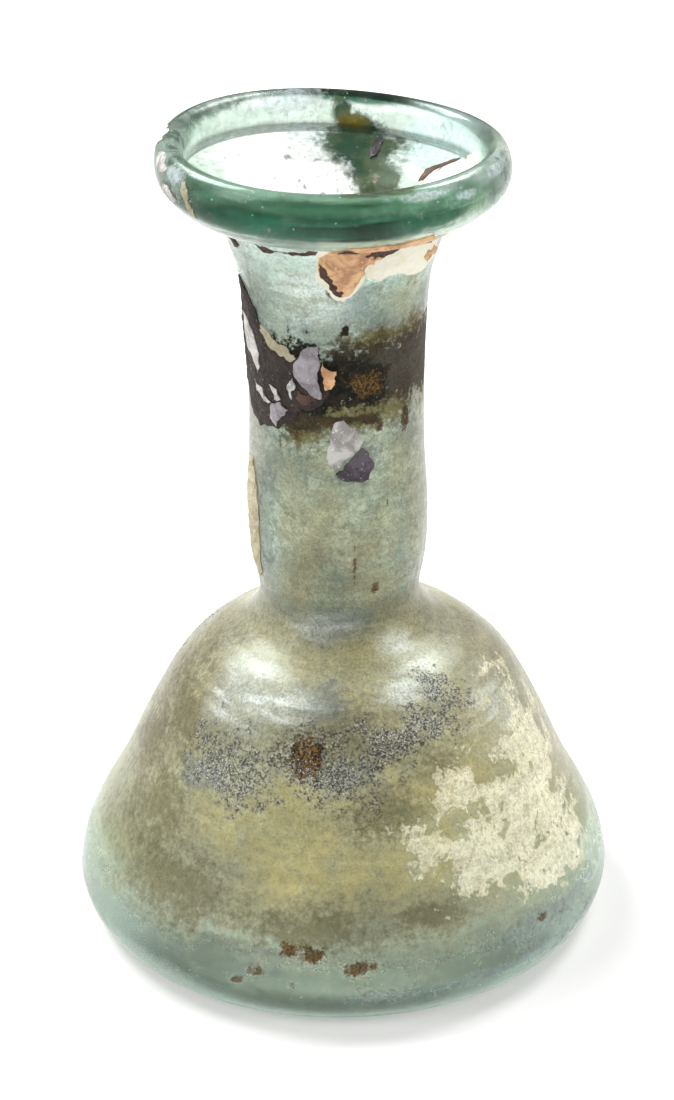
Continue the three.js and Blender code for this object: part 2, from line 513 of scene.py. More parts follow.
class Shader:
    """A material whose nodes are made by short calls. Each value may be a number, a colour or a socket."""

    def __init__(self, name):
        self.material = bpy.data.materials.new(name)
        self.material.use_nodes = True
        self.tree = self.material.node_tree
        self.tree.nodes.clear()
        self.output = self.tree.nodes.new("ShaderNodeOutputMaterial")
        self.surface = self.tree.nodes.new("ShaderNodeBsdfPrincipled")
        self.tree.links.new(self.surface.outputs[0], self.output.inputs["Surface"])
        self.place = self.tree.nodes.new("ShaderNodeTexCoord").outputs["Object"]

    def put(self, socket, value):
        if isinstance(value, bpy.types.NodeSocket):
            self.tree.links.new(value, socket)
        elif socket.type == "RGBA" and len(value) == 3:
            socket.default_value = (*value, 1)
        else:
            socket.default_value = value

    def set(self, **values):
        for name, value in values.items():
            self.put(self.surface.inputs[name.replace("_", " ")], value)

    def math(self, kind, a, b=0.0):
        node = self.tree.nodes.new("ShaderNodeMath")
        node.operation = kind
        self.put(node.inputs[0], a)
        self.put(node.inputs[1], b)
        return node.outputs[0]

    def step(self, value, low, high, to_low=0.0, to_high=1.0):
        node = self.tree.nodes.new("ShaderNodeMapRange")
        node.interpolation_type = "SMOOTHSTEP"
        values = {"Value": value, "From Min": low, "From Max": high, "To Min": to_low, "To Max": to_high}
        for name, number in values.items():
            self.put(node.inputs[name], number)
        return node.outputs["Result"]

    def noise(self, scale, detail=4.0, rough=0.55, twist=0.0, place=None):
        node = self.tree.nodes.new("ShaderNodeTexNoise")
        self.put(node.inputs["Vector"], place or self.place)
        values = {"Scale": scale, "Detail": detail, "Roughness": rough, "Distortion": twist}
        for name, number in values.items():
            self.put(node.inputs[name], number)
        return node.outputs["Fac"]

    def stretch(self, scale):
        node = self.tree.nodes.new("ShaderNodeMapping")
        self.put(node.inputs["Vector"], self.place)
        node.inputs["Scale"].default_value = scale
        return node.outputs[0]

    def stored(self, name):
        node = self.tree.nodes.new("ShaderNodeAttribute")
        node.attribute_name = name
        return node.outputs["Fac"]

    def blend(self, share, a, b):
        node = self.tree.nodes.new("ShaderNodeMix")
        node.data_type = "RGBA"
        factor, first, second = (node.inputs[i] for i in (0, 6, 7))  # a Mix node's sockets for colours
        self.put(factor, share)
        self.put(first, a)
        self.put(second, b)
        return node.outputs[2]

    def shade(self, colour, factor):
        node = self.tree.nodes.new("ShaderNodeVectorMath")
        node.operation = "SCALE"
        self.tree.links.new(colour, node.inputs[0])
        self.put(node.inputs["Scale"], factor)
        return node.outputs[0]

    def fade(self, share, a, b):
        node = self.tree.nodes.new("ShaderNodeMix")
        node.data_type = "FLOAT"
        self.put(node.inputs[0], share)
        self.put(node.inputs[2], a)
        self.put(node.inputs[3], b)
        return node.outputs[0]

    def bump(self, height, distance):
        node = self.tree.nodes.new("ShaderNodeBump")
        node.inputs["Strength"].default_value = 1
        node.inputs["Distance"].default_value = distance
        self.put(node.inputs["Height"], height)
        self.put(self.surface.inputs["Normal"], node.outputs[0])


GLASS_TINT = (0.82, 0.94, 0.85)
GLASS_GREY = (0.74, 0.89, 0.82)
GLASS_PALE = (0.92, 0.98, 0.94)
GLASS_GREEN = (0.09, 0.235, 0.14)
GLASS_DEEP = (0.001, 0.022, 0.009)
GLASS_MINT = (0.76, 1.0, 0.88)
SPECULAR_TINT = (0.5, 0.6, 0.54)
GLASS_IOR = 1.5
# The mean of the two noises that break up the edge of a stain
UNEVEN_MEAN = 0.75


def make_weathered_glass():
    """See-through glass under its coats of weathering, painted shade and painted highlights, from the oldest
    coat to the newest.
    """
    s = Shader("weathered_glass")
    coarse = s.noise(scale=60, detail=2, rough=0.6)
    medium = s.noise(scale=260, detail=3, rough=0.65)
    fine = s.noise(scale=1100, detail=2, rough=0.7)
    grain = s.noise(scale=3400, detail=1, rough=0.5)
    streaks = s.noise(scale=110, detail=2, rough=0.65, place=s.stretch((1, 1, 7)))
    uneven = s.math("ADD", s.math("MULTIPLY", coarse, 0.6), s.math("MULTIPLY", medium, 0.9))
    uneven = s.math("SUBTRACT", uneven, UNEVEN_MEAN)
    fine_uneven = s.math("SUBTRACT", fine, 0.5)
    look = {
        "colour": s.blend(s.step(medium, 0.35, 0.68), GLASS_TINT, GLASS_GREY),
        "through": s.fade(s.step(medium, 0.45, 0.72), 0.92, 0.72),
        "rough": s.step(coarse, 0.35, 0.7, 0.2, 0.34),
    }

    def mask(stain, ragged, soft, grow=0.0, broken=0.0, share=1.0):
        """How much of a stain lies here. Its edge is made ragged and broken, blurred, and moved outwards."""
        value = s.math("ADD", s.stored(stain), s.math("MULTIPLY", uneven, ragged))
        value = s.math("ADD", value, grow)
        if broken:
            value = s.math("ADD", value, s.math("MULTIPLY", fine_uneven, broken))
        return s.step(value, -soft, soft, 0.0, share)

    def two_tone(pattern, low, high, first, second, most=1.0):
        return s.blend(s.step(pattern, low, high, 0.0, most), first, second)

    def coat(share, colour, through=None, rough=None):
        look["colour"] = s.blend(share, look["colour"], colour)
        if through is not None:
            look["through"] = s.fade(share, look["through"], through)
        if rough is not None:
            look["rough"] = s.fade(share, look["rough"], rough)

    # Tints in the glass itself, and painted shade on the left and right sides of the low band
    coat(mask("mint", ragged=0.6, soft=0.4), GLASS_MINT, through=0.95, rough=0.2)
    coat(mask("painted_flank_shade", ragged=0.8, soft=0.7, share=0.9), (0.2, 0.4, 0.29), through=0.95, rough=0.2)
    coat(mask("pale", ragged=1.0, soft=0.3), (0.84, 0.94, 0.88), through=0.86, rough=0.16)
    coat(mask("wash", ragged=0.8, soft=0.6, share=0.8), (0.46, 0.62, 0.48), through=0.82, rough=0.2)
    coat(mask("clear", ragged=1.2, soft=0.3), GLASS_PALE, through=1.0, rough=0.12)
    coat(mask("green", ragged=0.9, soft=0.3), GLASS_GREEN, through=0.95, rough=0.18)
    deep_colour = two_tone(medium, 0.4, 0.7, GLASS_DEEP, (0.01, 0.05, 0.025))
    coat(mask("deep", ragged=0.8, soft=0.35), deep_colour, through=1.0)
    teal = mask("teal", ragged=1.0, soft=0.4, broken=0.4, share=0.8)
    coat(teal, (0.66, 0.95, 0.92), through=0.85, rough=0.2)

    # Scales and the dark patch on the rim and in the mouth, and pearly patches partly painted as highlights
    worn_colour = two_tone(medium, 0.45, 0.55, (0.34, 0.42, 0.36), (0.04, 0.085, 0.06))
    coat(mask("worn", ragged=1.6, soft=0.4, broken=0.8, share=0.85), worn_colour, through=0.5, rough=0.3)
    # Pearly patches on the roll and in the mouth, painted partly as white-blue highlights
    pearl_and_gleam_colour = two_tone(fine, 0.4, 0.65, (0.82, 0.9, 1.0), (0.6, 0.66, 0.68))
    coat(mask("pearl_and_painted_gleam", ragged=2.2, soft=0.3, broken=2.0, share=0.6), pearl_and_gleam_colour, through=0.35, rough=0.2)
    thick_colour = two_tone(medium, 0.4, 0.62, (0.008, 0.032, 0.014), (0.035, 0.06, 0.022))
    coat(mask("thick", ragged=1.1, soft=0.4, broken=0.9), thick_colour, through=0.3, rough=0.3)

    # Mottling of the neck
    # Grey-blue grime mottles, and a ring of painted shade all round where the neck meets the shoulder
    neck_grime_and_root_shade = mask("neck_grime_and_root_shade", ragged=1.9, soft=0.7, grow=0.2, broken=2.0, share=0.75)
    coat(neck_grime_and_root_shade, two_tone(coarse, 0.42, 0.6, (0.16, 0.22, 0.22), (0.3, 0.31, 0.24)), through=0.6, rough=0.36)
    blue_mottle = mask("neck", ragged=4.5, soft=0.5, grow=-0.9, broken=2.5, share=0.75)
    coat(blue_mottle, (0.2, 0.25, 0.25), through=0.6, rough=0.36)
    tan_mottle = mask("neck", ragged=-4.5, soft=0.5, grow=-0.9, broken=-2.5, share=0.5)
    coat(tan_mottle, (0.5, 0.44, 0.26), through=0.6, rough=0.36)
    sand = mask("sand", ragged=2.0, soft=0.6, broken=2.2, share=0.62)
    coat(sand, (0.6, 0.53, 0.3), through=0.6, rough=0.35)

    # The film of the body
    haze = mask("haze", ragged=0.9, soft=0.3, broken=0.4, share=0.55)
    coat(haze, (0.78, 0.695, 0.38), through=0.74, rough=0.4)
    # Painted shade darkening the left and right sides of the body and the neck
    painted_edge_shade = mask("painted_edge_shade", ragged=1.4, soft=0.7, broken=0.8, share=0.75)
    coat(painted_edge_shade, (0.38, 0.37, 0.28), through=0.6, rough=0.34)
    film_colour = s.blend(mask("warm", ragged=1.0, soft=0.45), (0.8, 0.675, 0.3), (0.97, 0.665, 0.15))
    film_colour = two_tone(medium, 0.42, 0.66, film_colour, (0.56, 0.46, 0.18), most=0.5)
    film_colour = two_tone(coarse, 0.5, 0.66, film_colour, (0.5, 0.5, 0.46), most=0.3)
    coat(mask("film", ragged=0.3, soft=0.12), film_colour, through=0.47, rough=0.45)
    dusk = mask("dusk", ragged=2.2, soft=0.8, grow=-0.05, broken=2.0, share=0.8)
    coat(dusk, (0.17, 0.145, 0.06), through=0.5, rough=0.4)
    blue = mask("blue", ragged=2.2, soft=0.5, broken=2.0, share=0.6)
    coat(blue, (0.2, 0.25, 0.3), through=0.55, rough=0.35)
    # Pale frost with painted highlights in streaks on the shoulders, at the neck root and under the rim
    highlight_streaks = s.step(streaks, 0.35, 0.6, 0.85, 0.4)
    frost_and_painted_highlight = s.math("MULTIPLY", mask("frost_and_painted_highlight", ragged=1.4, soft=0.7, broken=1.2), highlight_streaks)
    coat(frost_and_painted_highlight, (0.84, 0.91, 0.9), through=0.35, rough=0.42)

    # Cream flakes of the film, with a khaki line along their edges
    cream = mask("cream", ragged=3.6, soft=0.14, grow=-0.12, broken=2.2)
    cream_colour = two_tone(fine, 0.4, 0.7, (1.0, 0.97, 0.76), (0.92, 0.88, 0.62))
    coat(s.math("MULTIPLY", cream, 0.92), cream_colour, through=0.4, rough=0.45)
    edge_line = s.step(s.math("ABSOLUTE", s.math("SUBTRACT", cream, 0.3)), 0.3, 0.0, 0.0, 0.5)
    coat(edge_line, (0.4, 0.36, 0.2))

    # The granular band, grey with bright and black dots
    granular = mask("granular", ragged=4.4, soft=0.4, grow=-0.35, broken=2.6)
    coat(s.math("MULTIPLY", granular, 0.5), (0.3, 0.29, 0.23), through=0.5, rough=0.4)
    bright_dots = s.math("MULTIPLY", s.step(grain, 0.42, 0.32, 0, 0.6), granular)
    coat(bright_dots, (0.66, 0.68, 0.68), through=0.4, rough=0.3)
    black_dots = s.math("MULTIPLY", s.step(grain, 0.49, 0.57, 0, 0.95), granular)
    coat(black_dots, (0.08, 0.075, 0.07), through=0.3, rough=0.6)

    # The dark band of the neck and the rust-coloured spots
    olive = mask("olive", ragged=1.5, soft=0.7, grow=0.15, broken=2.0, share=0.92)
    coat(olive, (0.14, 0.1, 0.004), through=0.2)
    brown = mask("brown", ragged=1.1, soft=0.3, grow=0.12, broken=1.5, share=0.96)
    brown_colour = two_tone(fine, 0.35, 0.7, (0.018, 0.01, 0.004), (0.08, 0.046, 0.022))
    coat(brown, brown_colour, through=0.06, rough=0.75)
    black = mask("black", ragged=1.5, soft=0.2, grow=0.05, broken=1.8)
    black_colour = two_tone(fine, 0.4, 0.7, (0.004, 0.003, 0.002), (0.03, 0.02, 0.012))
    coat(black, black_colour, through=0.08, rough=0.85)
    rust = mask("rust", ragged=2.0, soft=0.4, grow=-0.05, broken=2.4, share=0.95)
    coat(rust, two_tone(grain, 0.42, 0.58, (0.17, 0.085, 0.015), (0.03, 0.018, 0.008)), through=0.15)

    # Fine grit over the neck and the body
    tone = s.math("MULTIPLY", s.step(fine, 0.3, 0.7, 1.08, 0.84), s.step(streaks, 0.35, 0.65, 1.06, 0.86))
    grit = s.math("MULTIPLY", s.step(grain, 0.3, 0.7, 1.2, 0.72), tone)
    tone = s.fade(mask("grit", ragged=0.8, soft=0.6), tone, grit)

    s.set(Base_Color=s.shade(look["colour"], tone), Roughness=look["rough"])
    s.set(Transmission_Weight=look["through"], IOR=GLASS_IOR, Specular_Tint=SPECULAR_TINT)
    dents = s.math("MULTIPLY", s.noise(scale=45, detail=0), 0.45)
    pits = s.math("MULTIPLY", s.noise(scale=1500, detail=0), 0.015)
    s.bump(s.math("ADD", dents, pits), distance=0.25 * MM)
    return s.material


def make_crust(name, light, deep, spot, relief, rough=0.75):
    """An opaque crust: two tones in patches, a third in fine spots, and a rough face."""
    s = Shader(name)
    patches = s.noise(scale=420, detail=6, rough=0.65, twist=0.8)
    fine = s.noise(scale=1800, detail=4, rough=0.65)
    colour = s.blend(s.step(patches, 0.38, 0.62), light, deep)
    colour = s.blend(s.step(fine, 0.6, 0.72), colour, spot)
    s.set(Base_Color=colour, Roughness=s.step(fine, 0.3, 0.7, rough - 0.15, rough + 0.15))
    s.bump(s.math("ADD", patches, s.math("MULTIPLY", fine, 0.5)), relief)
    return s.material


# Flakes of crust on the wall, in mm

LONG_SIDE = 2  # a shorter side of an outline is broken up less
JAG_FADE = 0.7
EDGE_THICKNESS = 0.45  # share of a flake's thickness at its edge
EDGE_WIDTH = 0.8
SUNK = 0.05  # how deep a flake's underside lies in the glass
JITTER = 0.3

def ragged_outline(corners, jag, seed, rounds=3):
    """The outline in (arc, height) mm with each side broken up into a ragged line."""
    rnd = random.Random(seed)
    line = [Vector(p) for p in corners]
    size = jag
    for _ in range(rounds):
        broken = []
        for a, b in zip(line, line[1:] + line[:1]):
            side = b - a
            across = Vector((-side.y, side.x)).normalized()
            push = across * rnd.uniform(-size, size) * min(side.length, LONG_SIDE) / LONG_SIDE
            broken += [a, (a + b) / 2 + push]
        line = broken
        size *= JAG_FADE
    return line


def make_flake(name, corners, material, thick, lift, seed, curl, side, relief=0.12, jag=0.45, grid=0.32):
    """A thin sheet that lies on the wall inside this outline of (azimuth, height) corners."""
    middle = sum(z for _, z in corners) / len(corners)
    radius = line_place(middle, side)[0]
    flat = [(math.radians(a) * radius, z) for a, z in corners]
    outline = ragged_outline(flat, jag, seed)
    rnd = random.Random(seed + 100)
    low = Vector((min(p.x for p in outline), min(p.y for p in outline)))
    high = Vector((max(p.x for p in outline), max(p.y for p in outline)))
    inner = []
    x = low.x
    while x < high.x:
        y = low.y
        while y < high.y:
            p = Vector((x + rnd.uniform(-JITTER, JITTER) * grid, y + rnd.uniform(-JITTER, JITTER) * grid))
            if inside_outline(p, outline) and edge_distance(p, outline) > grid * 0.45:
                inner.append(p)
            y += grid
        x += grid
    points = outline + inner
    edges = [(i, (i + 1) % len(outline)) for i in range(len(outline))]
    verts, _, faces, *_ = geometry.delaunay_2d_cdt(points, edges, [list(range(len(outline)))], 1, 1e-5)
    top = []
    bottom = []
    for p in verts:
        azimuth = math.degrees(p.x / radius)
        edge = edge_distance(p, outline)
        bulge = thick * (EDGE_THICKNESS + (1 - EDGE_THICKNESS) * smooth(edge, 0, EDGE_WIDTH))
        rough_part = relief * noise.noise(Vector((p.x * 1.3, p.y * 1.3, seed * 3.1)))
        rough_part += relief * 0.5 * noise.noise(Vector((p.x * 4, p.y * 4, seed * 5.7)))
        raise_edge = curl * (p.x - low.x) / max(high.x - low.x, 0.1)
        top.append(on_glass(azimuth, p.y, lift + bulge + rough_part + raise_edge, side))
        bottom.append(on_glass(azimuth, p.y, lift + raise_edge * 0.8 - SUNK, side))
    n = len(verts)
    polygons = [tuple(f) for f in faces] + [tuple(n + i for i in reversed(f)) for f in faces]
    seen = {}
    for f in faces:
        for a, b in zip(f, list(f[1:]) + [f[0]]):
            seen[(a, b)] = seen.get((a, b), 0) + 1
    for a, b in seen:
        if (b, a) not in seen:
            polygons.append((b, a, n + a, n + b))
    mesh = bpy.data.meshes.new(name)
    mesh.from_pydata(top + bottom, [], polygons)
    mesh.update()
    turn_faces_out(mesh)
    return finish_piece(link(mesh), material)


def inside_outline(p, outline):
    inside = False
    for a, b in zip(outline, outline[1:] + outline[:1]):
        if (a.y > p.y) != (b.y > p.y) and p.x < (b.x - a.x) * (p.y - a.y) / (b.y - a.y) + a.x:
            inside = not inside
    return inside


def edge_distance(p, outline):
    best = 1e9
    for a, b in zip(outline, outline[1:] + outline[:1]):
        side = b - a
        share = min(max((p - a).dot(side) / max(side.length_squared, 1e-12), 0), 1)
        best = min(best, (a + side * share - p).length)
    return best


# Specks and granules that stick to the glass

def scatter(name, source, stain, material, per_mm2, smallest, largest, flatness, bias, seed):
    """Small grains on the outer face where a stain is strong, as one plain mesh."""
    tree = bpy.data.node_groups.new(name, "GeometryNodeTree")
    tree.interface.new_socket(name="Geometry", in_out="OUTPUT", socket_type="NodeSocketGeometry")
    tree.interface.new_socket(name="Geometry", in_out="INPUT", socket_type="NodeSocketGeometry")
    values = {
        "Grains per square metre": per_mm2 / MM ** 2,
        "Smallest radius": smallest * MM,
        "Largest radius": largest * MM,
        "Flatness": flatness,
        "Bias": bias,
        "Patch scale": 260.0,
        "Patchiness": 3.0,
    }
    sockets = {
        key: tree.interface.new_socket(name=key, in_out="INPUT", socket_type="NodeSocketFloat")
        for key in values
    }
    nodes = tree.nodes
    wire = tree.links.new
    given = nodes.new("NodeGroupInput").outputs
    final = nodes.new("NodeGroupOutput").inputs

    def math_node(kind, a, b):
        node = nodes.new("ShaderNodeMath")
        node.operation = kind
        for socket, value in zip(node.inputs, (a, b)):
            if isinstance(value, bpy.types.NodeSocket):
                wire(value, socket)
            else:
                socket.default_value = value
        return node.outputs[0]

    stored = nodes.new("GeometryNodeInputNamedAttribute")
    stored.data_type = "FLOAT"
    stored.inputs["Name"].default_value = stain
    patches = nodes.new("ShaderNodeTexNoise")
    wire(given["Patch scale"], patches.inputs["Scale"])
    broken = math_node("MULTIPLY", math_node("SUBTRACT", patches.outputs[0], 0.5), given["Patchiness"])
    strength = math_node("ADD", math_node("ADD", stored.outputs[0], broken), given["Bias"])
    share = nodes.new("ShaderNodeClamp")
    wire(math_node("MULTIPLY", strength, 2.0), share.inputs["Value"])
    spread = nodes.new("GeometryNodeDistributePointsOnFaces")
    spread.distribute_method = "RANDOM"
    wire(given["Geometry"], spread.inputs["Mesh"])
    density = math_node("MULTIPLY", share.outputs[0], given["Grains per square metre"])
    wire(density, spread.inputs["Density"])
    spread.inputs["Seed"].default_value = seed
    grain = nodes.new("GeometryNodeMeshIcoSphere")
    grain.inputs["Radius"].default_value = 1.0
    grain.inputs["Subdivisions"].default_value = 1
    sizes = []
    for key in ("Smallest radius", "Largest radius"):
        joined = nodes.new("ShaderNodeCombineXYZ")
        wire(given[key], joined.inputs[0])
        wire(given[key], joined.inputs[1])
        wire(math_node("MULTIPLY", given[key], given["Flatness"]), joined.inputs[2])
        sizes.append(joined.outputs[0])
    size = nodes.new("FunctionNodeRandomValue")
    size.data_type = "FLOAT_VECTOR"
    wire(sizes[0], size.inputs["Min"])
    wire(sizes[1], size.inputs["Max"])
    size.inputs["Seed"].default_value = seed + 1
    twist = nodes.new("FunctionNodeRandomValue")
    twist.data_type = "FLOAT_VECTOR"
    twist.inputs["Max"].default_value = (0, 0, 2 * math.pi)
    twist.inputs["Seed"].default_value = seed + 2
    turned = nodes.new("FunctionNodeRotateRotation")
    turned.rotation_space = "LOCAL"
    wire(spread.outputs["Rotation"], turned.inputs[0])
    wire(twist.outputs[0], turned.inputs[1])
    placed = nodes.new("GeometryNodeInstanceOnPoints")
    wire(spread.outputs["Points"], placed.inputs["Points"])
    wire(grain.outputs["Mesh"], placed.inputs["Instance"])
    wire(turned.outputs[0], placed.inputs["Rotation"])
    wire(size.outputs[0], placed.inputs["Scale"])
    solid = nodes.new("GeometryNodeRealizeInstances")
    wire(placed.outputs[0], solid.inputs[0])
    coated = nodes.new("GeometryNodeSetMaterial")
    coated.inputs["Material"].default_value = material
    wire(solid.outputs[0], coated.inputs["Geometry"])
    wire(coated.outputs[0], final[0])

    thing = link(source.data.copy())
    thing.name = name
    modifier = thing.modifiers.new(name, "NODES")
    modifier.node_group = tree
    for key, value in values.items():
        modifier[sockets[key].identifier] = value
    graph = bpy.context.evaluated_depsgraph_get()
    mesh = bpy.data.meshes.new_from_object(thing.evaluated_get(graph), depsgraph=graph)
    mesh.name = name
    thing.modifiers.clear()
    thing.data = mesh
    for layer in list(mesh.attributes):
        if layer.name in STAINS:
            mesh.attributes.remove(layer)
    return finish_piece(thing, None)


def make_grain_material(name, colour, second, rough, metal=0.0):
    s = Shader(name)
    spots = s.noise(scale=3000, detail=3, rough=0.6)
    s.set(Base_Color=s.blend(s.step(spots, 0.4, 0.6), colour, second), Metallic=metal)
    s.set(Roughness=s.step(spots, 0.3, 0.7, rough - 0.1, rough + 0.1))
    s.bump(spots, distance=0.05 * MM)
    return s.material


# Stage, light and camera

# Lengths in metres. The floor is white and glows a little in a strip that widens towards the back, and its
# colour is painted darker towards the sides as shade, so that the backdrop is white and the sides that the
# glass bends into view are darker.
FLOOR_SIZE = 3.0
FLOOR_GLOW = 0.2
FLOOR_WHITE = 0.54
FLOOR_SIDE_SHADE = 0.3
# Stands in for the light that falls through the glass on the floor
UNDER_GLOW = 0.5
UNDER_GLOW_INNER = 0.02
UNDER_GLOW_OUTER = 0.042
GLOW_HALF_WIDTH = 0.055
GLOW_WIDENING = 0.1
GLOW_FADE = 0.1
WORLD_LIGHT = 0.48


def make_stage():
    s = Shader("floor_white")
    parts = s.tree.nodes.new("ShaderNodeSeparateXYZ")
    s.tree.links.new(s.place, parts.inputs[0])
    x, y, _ = parts.outputs
    aside = s.math("SUBTRACT", s.math("ABSOLUTE", x), s.math("MULTIPLY", y, GLOW_WIDENING))
    glow = s.step(aside, GLOW_HALF_WIDTH, GLOW_HALF_WIDTH + GLOW_FADE, FLOOR_GLOW, 0.0)
    # Painted shade: the floor's colour darkens from white in the strip to grey at the sides
    white = s.step(aside, GLOW_HALF_WIDTH, GLOW_HALF_WIDTH + 2 * GLOW_FADE, FLOOR_WHITE, FLOOR_SIDE_SHADE)
    away = s.math("SQRT", s.math("ADD", s.math("POWER", x, 2.0), s.math("POWER", y, 2.0)))
    glow = s.math("ADD", glow, s.step(away, UNDER_GLOW_INNER, UNDER_GLOW_OUTER, UNDER_GLOW, 0.0))
    colour = s.blend(white, (0, 0, 0), (1, 1, 0.99))
    s.set(Base_Color=colour, Roughness=0.9, Emission_Color=(1, 1, 1), Emission_Strength=glow)
    mesh = bpy.data.meshes.new("floor")
    half = FLOOR_SIZE / 2
    corners = [(-half, -half, 0), (half, -half, 0), (half, half, 0), (-half, half, 0)]
    mesh.from_pydata(corners, [], [(0, 1, 2, 3)])
    mesh.materials.append(s.material)
    link(mesh)
    world = bpy.data.worlds.new("studio")
    world.use_nodes = True
    background = world.node_tree.nodes["Background"]
    background.inputs["Color"].default_value = (1, 1, 1, 1)
    background.inputs["Strength"].default_value = WORLD_LIGHT
    bpy.context.scene.world = world


# Name, place, width and height in metres, and power in watts
SOFTBOXES = (
    ("softbox_back_left", (-0.5, 0.4, 0.8), (0.5, 0.45), 14),
    ("softbox_back_right", (0.45, 0.45, 0.8), (0.36, 0.34), 8),
    ("softbox_left", (-0.9, -0.35, 0.75), (0.5, 0.7), 5.8),
    ("softbox_right", (0.9, -0.35, 0.75), (0.5, 0.7), 5.2),
)
SOFTBOX_TARGET = (0, 0, 0.055)


def make_softbox(name, place, size, power):
    light = bpy.data.lights.new(name, "AREA")
    light.shape = "RECTANGLE"
    light.size, light.size_y = size
    light.energy = power
    lamp = bpy.data.objects.new(name, light)
    lamp.location = place
    lamp.rotation_euler = (Vector(SOFTBOX_TARGET) - Vector(place)).to_track_quat("-Z", "Y").to_euler()
    bpy.context.scene.collection.objects.link(lamp)


# The camera: angles in degrees, lens and sensor in mm, distance and target in metres
ELEVATION = 26.326
DISTANCE = 0.4
ROLL = -0.833
LENS = 99.548
SENSOR = 36
TARGET = (-0.000226, 0, 0.051254)


def make_camera():
    up_angle = math.radians(ELEVATION)
    back = Vector((0, -math.cos(up_angle), math.sin(up_angle)))
    right = Vector((1, 0, 0))
    up = Vector((0, math.sin(up_angle), math.cos(up_angle)))
    turn = math.radians(ROLL)
    across = math.cos(turn) * right + math.sin(turn) * up
    upward = -math.sin(turn) * right + math.cos(turn) * up
    data = bpy.data.cameras.new("camera")
    data.lens = LENS
    data.sensor_width = SENSOR
    camera = bpy.data.objects.new("camera", data)
    camera.matrix_world = Matrix.Translation(Vector(TARGET) + back * DISTANCE) @ Matrix(
        (across, upward, back)
    ).transposed().to_4x4()
    bpy.context.scene.collection.objects.link(camera)
    bpy.context.scene.camera = camera


glass = make_glass()

tan_crust = make_crust(
    "tan_crust", light=(0.88, 0.55, 0.3), deep=(0.52, 0.27, 0.14), spot=(0.9, 0.7, 0.48),
    relief=0.3 * MM)
umber_crust = make_crust(
    "umber_crust", light=(0.1, 0.05, 0.03), deep=(0.04, 0.02, 0.012), spot=(0.35, 0.2, 0.12),
    relief=0.3 * MM)
cream_crust = make_crust(
    "cream_crust", light=(0.96, 0.95, 0.82), deep=(0.93, 0.88, 0.7), spot=(0.98, 0.97, 0.92),
    relief=0.2 * MM)
dark_crust = make_crust(
    "dark_crust", light=(0.035, 0.022, 0.016), deep=(0.012, 0.008, 0.006), spot=(0.22, 0.17, 0.15),
    relief=0.6 * MM, rough=0.7)
lilac_crust = make_crust(
    "lilac_crust", light=(0.36, 0.33, 0.35), deep=(0.2, 0.18, 0.2), spot=(0.55, 0.52, 0.55),
    relief=0.3 * MM, rough=0.55)
silver_crust = make_crust(
    "silver_crust", light=(0.6, 0.58, 0.54), deep=(0.3, 0.28, 0.27), spot=(0.85, 0.84, 0.8),
    relief=0.3 * MM, rough=0.5)
straw_crust = make_crust(
    "straw_crust", light=(0.47, 0.43, 0.3), deep=(0.33, 0.29, 0.18), spot=(0.7, 0.65, 0.5),
    relief=0.3 * MM)
plum_crust = make_crust(
    "plum_crust", light=(0.1, 0.08, 0.1), deep=(0.03, 0.022, 0.03), spot=(0.4, 0.36, 0.42),
    relief=0.4 * MM, rough=0.5)

